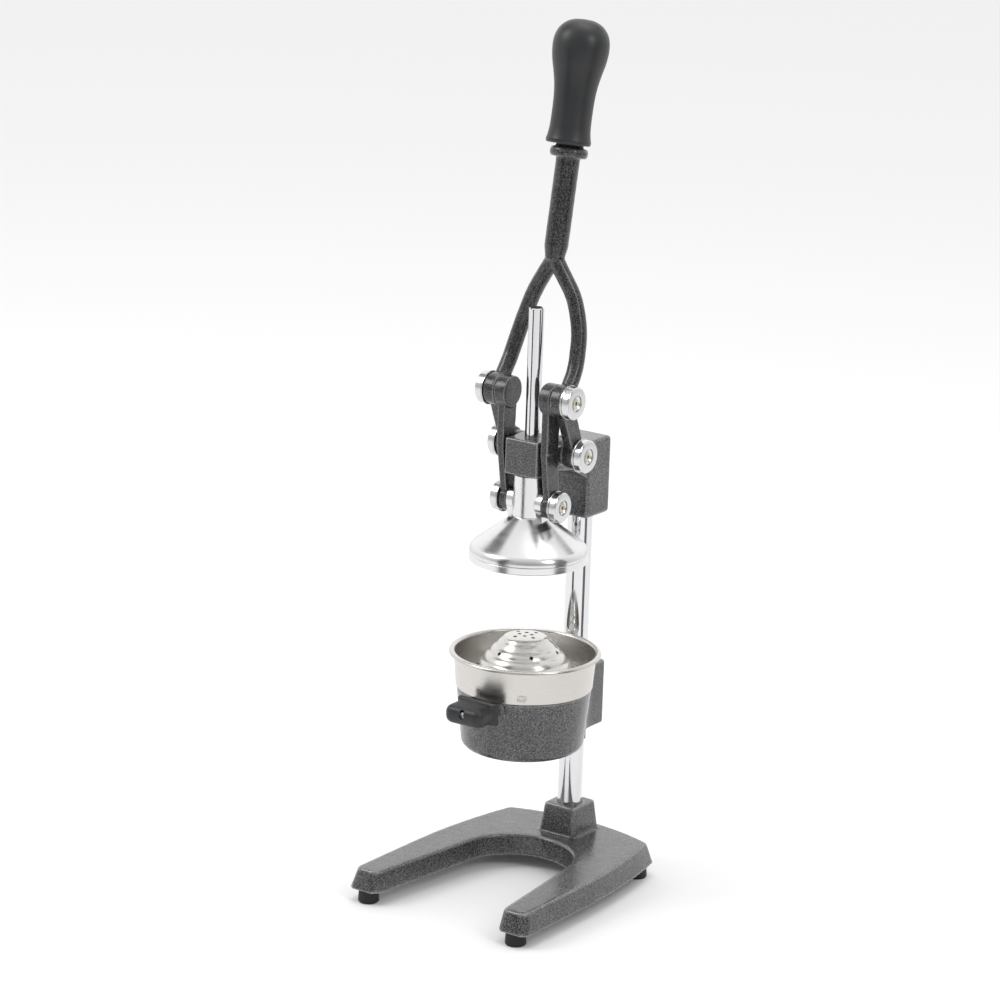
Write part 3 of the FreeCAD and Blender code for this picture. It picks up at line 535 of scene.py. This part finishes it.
nodeFinish = {"hammertone_paint": castGrey, "chrome_plate": chrome, "polished_aluminium": polishedAluminium,
              "satin_stainless": satinStainless, "black_plastic": blackPlastic, "black_rubber": blackRubber,
              "zinc_steel": zincSteel, "passivated_steel": yellowSteel}
for node in frame["nodes"].values():
    for materialSlot in node.material_slots:
        materialSlot.material = nodeFinish[materialSlot.material.name]
print("finishes are made")


# ---- castings: a copy of each CAD casting, with the soft inside corners and edges that a sand mould leaves

sand = {"grain": 6 * mm, "rough": 0.22 * mm}
castings = {  # node: body, finish, voxel, smoothing passes
    "base_casting": ("frame", castGrey, 1.1 * mm, 5),
    "cup_holder": ("frame", castGrey, 0.9 * mm, 5),
    "head_casting": ("frame", castGrey, 0.8 * mm, 5),
    "lever_casting": ("lever", castDark, 0.7 * mm, 12),
    "link_left": ("link_left", castDark, 0.6 * mm, 8),
    "link_right": ("link_right", castDark, 0.6 * mm, 8)}


def makeCastings():
    skin = bpy.data.textures.new("sandSkin", "CLOUDS")
    skin.noise_scale = sand["grain"]
    skin.noise_depth = 1
    for node, (body, finish, voxel, passes) in castings.items():
        pickOnly(frame["nodes"][node])
        bpy.ops.object.duplicate()
        piece = bpy.context.object
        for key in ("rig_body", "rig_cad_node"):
            del piece[key]
        piece.parent = None
        piece.name = piece.data.name = node.replace("_", "-") + "-cast"
        bpy.ops.object.mode_set(mode="EDIT")
        bpy.ops.mesh.select_all(action="SELECT")
        bpy.ops.mesh.customdata_custom_splitnormals_clear()
        bpy.ops.mesh.remove_doubles(threshold=weld)
        bpy.ops.object.mode_set(mode="OBJECT")
        applied(piece, "REMESH", mode="VOXEL", voxel_size=voxel, adaptivity=0.0)
        applied(piece, "SMOOTH", factor=0.5, iterations=passes)
        applied(piece, "DISPLACE", texture=skin, texture_coords="LOCAL", strength=sand["rough"],
                mid_level=0.5)
        pickOnly(piece)
        bpy.ops.object.shade_smooth()
        dressed(piece, finish, body, [node])


makeCastings()
print("castings are in")


# ---- juice bowl: deep-drawn and spun sheet, with a rolled rim and a pressed dimple that lines it up

bowl = {"rim": (60.5, -2.5, 1.5, 2.5), "wallFoot": 56.8, "seat": -30.4, "ledge": -25.4, "skirt": 50.0,
        "skirtEnd": -39.4, "floor": -59.4, "flat": 13.0, "hole": 9.6, "sheet": 1.0,
        "corners": {"foot": 1.0, "root": 0.6, "step": 0.8, "inside": 1.4},
        "dimple": {"turn": 33.0, "up": 4.5, "size": (7.4, 4.0, 5.6), "corner": 1.9, "proud": 1.1,
                   "rise": (0.35, 0.3), "edge": 1.1, "sunk": (0.3, 0.7), "sink": 0.3}}


def bowlProfile():
    # outside from the rim to the hole in the floor, then back along the inside, from the rim downwards
    centreR, centreZ, inside, outside = bowl["rim"]
    foot, seat, skirt, sheet = bowl["wallFoot"], bowl["seat"], bowl["skirt"], bowl["sheet"]
    skirtEnd, floor, flat, hole, ledge = (bowl[key] for key in ("skirtEnd", "floor", "flat", "hole", "ledge"))
    corner = bowl["corners"]
    outer = arc((centreR, centreZ), inside, 0, 180, 10)
    outer += arc((foot - corner["foot"], seat + corner["foot"]), corner["foot"], 0, -90, 5)
    outer += arc((skirt + corner["root"], seat - corner["root"]), corner["root"], 90, 180, 4)
    outer += [(skirt, skirtEnd + 2), (skirt - 0.7, skirtEnd), (flat + 0.8, floor + 0.2), (flat, floor),
              (hole, floor)]
    inner = [(hole, floor + sheet), (flat - 0.3, floor + sheet), (skirt - 2, skirtEnd + 0.9),
             (skirt - sheet, skirtEnd + 2.4)]
    inner += arc((skirt - sheet + corner["step"], ledge - corner["step"]), corner["step"], 180, 90, 4)
    inner += arc((foot - 2.2, ledge + corner["inside"]), corner["inside"], -90, 0, 5)
    inner += arc((centreR, centreZ), outside, 180, 0, 16)
    return outer + inner


def makeDimple():
    # a pressed pad with round corners and a sunk middle, laid against the wall's slope
    dimple = bowl["dimple"]
    pad = block("bowl-dimple", dimple["size"], (0, 0, 0), 0)
    pickFaces(pad, lambda face: abs(face.normal.y) > 0.5)
    bpy.ops.mesh.select_mode(type="EDGE")
    bpy.ops.mesh.select_all(action="INVERT")
    bpy.ops.mesh.bevel(offset=dimple["corner"] * mm, segments=5)
    bpy.ops.object.mode_set(mode="OBJECT")
    pickFaces(pad, lambda face: face.normal.y < -0.9)
    bpy.ops.mesh.inset(thickness=dimple["rise"][0] * mm, depth=dimple["rise"][1] * mm)
    bpy.ops.mesh.inset(thickness=dimple["edge"] * mm, depth=0)
    bpy.ops.mesh.inset(thickness=dimple["sunk"][0] * mm, depth=-dimple["sunk"][1] * mm)
    bpy.ops.object.mode_set(mode="OBJECT")
    centreR, centreZ, inside, _ = bowl["rim"]
    start = bowl["seat"] + bowl["corners"]["foot"]
    slope = math.atan2(centreR - inside - bowl["wallFoot"], centreZ - start)
    onWall = bowl["wallFoot"] + dimple["up"] * math.tan(slope)
    face = dimple["size"][1] / 2 - onWall - dimple["proud"] + dimple["sink"]
    placed(pad, turn=(-math.degrees(slope), 0, 0))
    placed(pad, where=(0, face * mm, (start + dimple["up"]) * mm))
    return placed(pad, turn=(0, 0, dimple["turn"]))


def makeBowl():
    piece = turned("bowl-wall", bowlProfile(), segments=144, closed=True)
    combined(piece, [makeDimple()], "UNION")
    placed(piece, where=(cupAxis.x, cupAxis.y, bowlBox[1].z))
    smoothed(piece, 32)
    dressed(piece, satinStainless, "bowl", ["juice_bowl"])


# ---- strainer: a stepped reamer pressed from thin sheet, pierced in its crown and in three rows

strainer = {"sheet": 0.8, "hole": 1.6, "flange": 54.0,
            "crown": ((0.4, 38.0), (8.0, 37.9), (14.0, 37.35), (17.4, 36.4), (18.9, 35.0)),
            "bands": (((19.3, 34.4), (24.6, 28.8), 0.25), ((25.8, 28.1), (29.6, 23.4), 0.35),
                      ((30.9, 22.6), (35.0, 17.0), 0.55), ((36.3, 16.2), (41.0, 9.0), 0.6),
                      ((41.5, 8.2), (43.2, 3.0), 0.2)),
            "fillet": (45.0, 2.8, 1.8), "crownHeight": 37.5, "punch": 5.0,
            "crownHoles": ((5.1, 25), (10.6, 70)),  # ring radius, first hole's direction, four holes each
            "rows": ((1, 315), (3, 285), (4, 315))}  # band, first hole's direction, six holes each


def punched(radius, height, direction, tilt, turn):
    # one punch standing through the sheet, at a radius, height and direction in degrees
    out = math.radians(direction)
    pickNone()
    bpy.ops.mesh.primitive_cylinder_add(vertices=24, radius=strainer["hole"] * mm,
                                        depth=strainer["punch"] * mm)
    where = (radius * math.cos(out) * mm, radius * math.sin(out) * mm, height * mm)
    return placed(bpy.context.object, where, (0, tilt, turn))


def makeStrainer():
    flange, (filletR, filletZ, fillet) = strainer["flange"], strainer["fillet"]
    outer = flowing(strainer["crown"])
    for start, end, bulge in strainer["bands"]:
        outer += bulged(start, end, bulge)
    outer += arc((filletR, filletZ), fillet, 180, 270, 5) + [(flange - 0.4, 1.0), (flange, 0.8)]
    piece = turned("strainer-shell", walled(outer, strainer["sheet"]), segments=144)
    punches = []
    for radius, first in strainer["crownHoles"]:
        punches += [punched(radius, strainer["crownHeight"], first + 90 * i, 0, 0) for i in range(4)]
    for band, first in strainer["rows"]:
        start, end, _ = strainer["bands"][band]
        radius, height = (start[0] + end[0]) / 2, (start[1] + end[1]) / 2
        tilt = math.degrees(math.atan2(start[1] - end[1], end[0] - start[0]))
        punches += [punched(radius, height, first + 60 * i, tilt, first + 60 * i) for i in range(6)]
    combined(piece, punches)
    placed(piece, where=(cupAxis.x, cupAxis.y, strainerBox[0].z))
    smoothed(piece, 40)
    dressed(piece, pressedStainless, "strainer", ["strainer_cone"])


# ---- black grips: a pear-shaped one on the lever and a flat one pushed over the cup's stub

leverGrip = {"crotch": (8.9, 157.7), "along": 92.0, "lean": 10.2, "widen": 1.014, "shift": (0, -3.0, -0.4),
             "foot": ((13.6, 0.0), (17.3, 0.0), (18.1, 0.9)),
             "outline": ((18.2, 3.2), (17.3, 7.0), (16.5, 14.0), (16.3, 26.0), (16.6, 38.0), (17.6, 48.0),
                         (19.6, 58.0), (21.8, 67.5), (22.8, 77.0), (22.2, 85.0), (19.6, 91.6), (14.6, 97.0),
                         (8.0, 100.0), (0.5, 100.7))}
cupGrip = {"softness": 6.6, "lip": 1.5, "lipLength": 4.4, "lipSoftness": 1.9,
           "back": {"length": 8.0, "inset": 0.5, "softness": 2.0}, "voxel": 0.5 * mm, "passes": 5,
           "stub": (31.2, 10.4), "stubRise": 1.0, "beyond": 9.0, "screw": 2.3, "recess": 4.2,
           "notch": (3.91, 5.0)}


def makeLeverGrip():
    line = flowing(leverGrip["outline"], 5)
    piece = turned("lever-grip-moulding", list(leverGrip["foot"]) + line)
    # a little wider sideways, and a little in front of the shaft
    piece.scale = (leverGrip["widen"], 1, 1)
    placed(piece, where=[c * mm for c in leverGrip["shift"]])
    lean = math.radians(leverGrip["lean"])
    back, above = leverGrip["crotch"]
    foot = fulcrum + Vector((0, back + leverGrip["along"] * math.sin(lean),
                             above + leverGrip["along"] * math.cos(lean))) * mm
    placed(piece, where=foot, turn=(-leverGrip["lean"], 0, 0))
    smoothed(piece, 50)
    dressed(piece, blackPlastic, "lever", ["lever_grip"])


def makeCupGrip():
    low, high = (corner / mm for corner in cupGripBox)
    lip, lipLength, back = cupGrip["lip"], cupGrip["lipLength"], cupGrip["back"]
    width, height = high.x - low.x - 2 * lip, high.z - low.z - 2 * lip
    middleZ = (low.z + high.z) / 2
    body = block("cup-grip-moulding", (width, high.y - low.y, height),
                 (0, (low.y + high.y) / 2, middleZ), cupGrip["softness"], 6)
    collar = block("cup-grip-lip", (width + 2 * lip, lipLength, height + 2 * lip),
                   (0, high.y - lipLength / 2, middleZ), cupGrip["lipSoftness"], 4)
    filler = block("cup-grip-back", (width - 2 * back["inset"], back["length"], height - 2 * back["inset"]),
                   (0, high.y - back["length"] / 2, middleZ), back["softness"], 3)
    combined(body, [collar], "UNION")
    combined(body, [filler], "UNION")
    applied(body, "REMESH", mode="VOXEL", voxel_size=cupGrip["voxel"], adaptivity=0.0)
    applied(body, "SMOOTH", factor=0.5, iterations=cupGrip["passes"])
    stubWidth, stubHeight = cupGrip["stub"]
    stubZ = middleZ + cupGrip["stubRise"]
    front = low.y + cupGrip["beyond"]
    room = block("stub-room", (stubWidth, high.y - front + 1, stubHeight),
                 (0, (front + high.y + 1) / 2, stubZ), 1.0, 3)
    pickNone()
    deep = 2 * cupGrip["recess"]
    bpy.ops.mesh.primitive_cylinder_add(vertices=40, radius=cupGrip["screw"] * mm, depth=deep * mm)
    recess = placed(bpy.context.object, (0, low.y * mm, stubZ * mm), (90, 0, 0))
    wide, tall = cupGrip["notch"]
    notch = block("screw-notch", (wide, deep, tall), (0, low.y, stubZ + tall / 2), 0)
    for cutter in (room, recess, notch):
        combined(body, [cutter])
    smoothed(body, 40)
    dressed(body, blackPlastic, "frame", ["cup_grip"])


# ---- pivot hardware: a turned cap with a countersink, a thin washer and a button screw, at six places

pivot = {"cap": 13.5, "thick": 6.5, "bevel": 1.1, "edge": 0.5, "sink": (6.8, 4.6, 3.4), "sinkEdge": 0.3,
         "bore": 3.4, "screwHead": 4.0, "screwHeight": 2.6, "shank": 3.2, "tail": 3.0, "hex": 3.0,
         "hexDepth": 1.8, "washer": 1.4, "washerOver": 0.6, "washerBore": 5.2, "washerEdge": 0.25}
pivotPlaces = (  # name, bodies left and right, radius of its cap
    ("fulcrum", ("frame", "frame"), 13.5), ("crank", ("link_left", "link_right"), 13.5),
    ("bell", ("link_left", "link_right"), 12.5))


def makePivotMasters():
    # modelled upright, outer face up, with the washer's inner face at zero
    low, high = pivot["washer"], pivot["washer"] + pivot["thick"]
    wide, narrow, deep = pivot["sink"]
    radius, bevel, edge, sinkEdge = pivot["cap"], pivot["bevel"], pivot["edge"], pivot["sinkEdge"]
    seat = high - deep
    side = [(pivot["bore"], low), (radius - edge, low), (radius, low + edge), (radius, high - bevel - 0.15),
            (radius - 0.12, high - bevel), (radius - bevel, high - 0.1), (radius - bevel - 0.25, high)]
    recess = [(wide - 0.15, high - 1.5), (narrow + 0.25, seat + 0.2), (narrow, seat), (pivot["bore"], seat)]
    cap = turned("cap", side + [(wide + sinkEdge + 0.05, high)]
                 + arc((wide + sinkEdge, high - sinkEdge), sinkEdge, 90, 180, 4) + recess, closed=True)
    head, shank = pivot["screwHead"], pivot["shank"]
    top, tail = seat + pivot["screwHeight"], low - pivot["tail"]
    screw = turned("screw", [(0.4, tail), (shank, tail), (shank, seat), (head, seat), (head, top - 0.9),
                             (head - 0.35, top - 0.3), (head - 1.0, top), (0.4, top)], segments=64)
    pickNone()
    bpy.ops.mesh.primitive_cylinder_add(vertices=6, radius=pivot["hex"] / math.sqrt(3) * mm,
                                        depth=2 * pivot["hexDepth"] * mm, location=(0, 0, top * mm))
    combined(screw, [bpy.context.object])
    over, washerBore, edge = pivot["cap"] + pivot["washerOver"], pivot["washerBore"], pivot["washerEdge"]
    washer = turned("washer", [(washerBore, 0), (over - edge, 0), (over, edge), (over, low - edge),
                               (over - edge, low), (washerBore, low)], closed=True)
    for piece in (cap, screw, washer):
        smoothed(piece, 25)
    return cap, screw, washer


def makePivots():
    masters = makePivotMasters()
    for name, bodies, radius in pivotPlaces:
        for side, body in zip(("left", "right"), bodies):
            low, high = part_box(name + "_washer_" + side)
            face = high.x if side == "left" else low.x
            where = (face, (low.y + high.y) / 2, (low.z + high.z) / 2)
            kinds = (("cap", capChrome, "chrome_plate"), ("screw", yellowSteel, "passivated_steel"),
                     ("washer", washerChrome, "chrome_plate"))
            for master, (kind, finish, slotName) in zip(masters, kinds):
                piece = copied(master, name + "-" + kind + "-" + side)
                shrink = radius / pivot["cap"] if kind != "screw" else 1
                piece.scale = (shrink, shrink, 1)
                placed(piece, where, (0, -90 if side == "left" else 90, 0))
                dressed(piece, finish, body, [name + "_" + kind + "_" + side])
    for master in masters:
        pickOnly(master)
        bpy.ops.object.delete()


makeBowl()
print("bowl is in")
makeStrainer()
print("strainer is in")
makeLeverGrip()
makeCupGrip()
print("grips are in")
makePivots()
print("pivot caps, washers and screws are in")
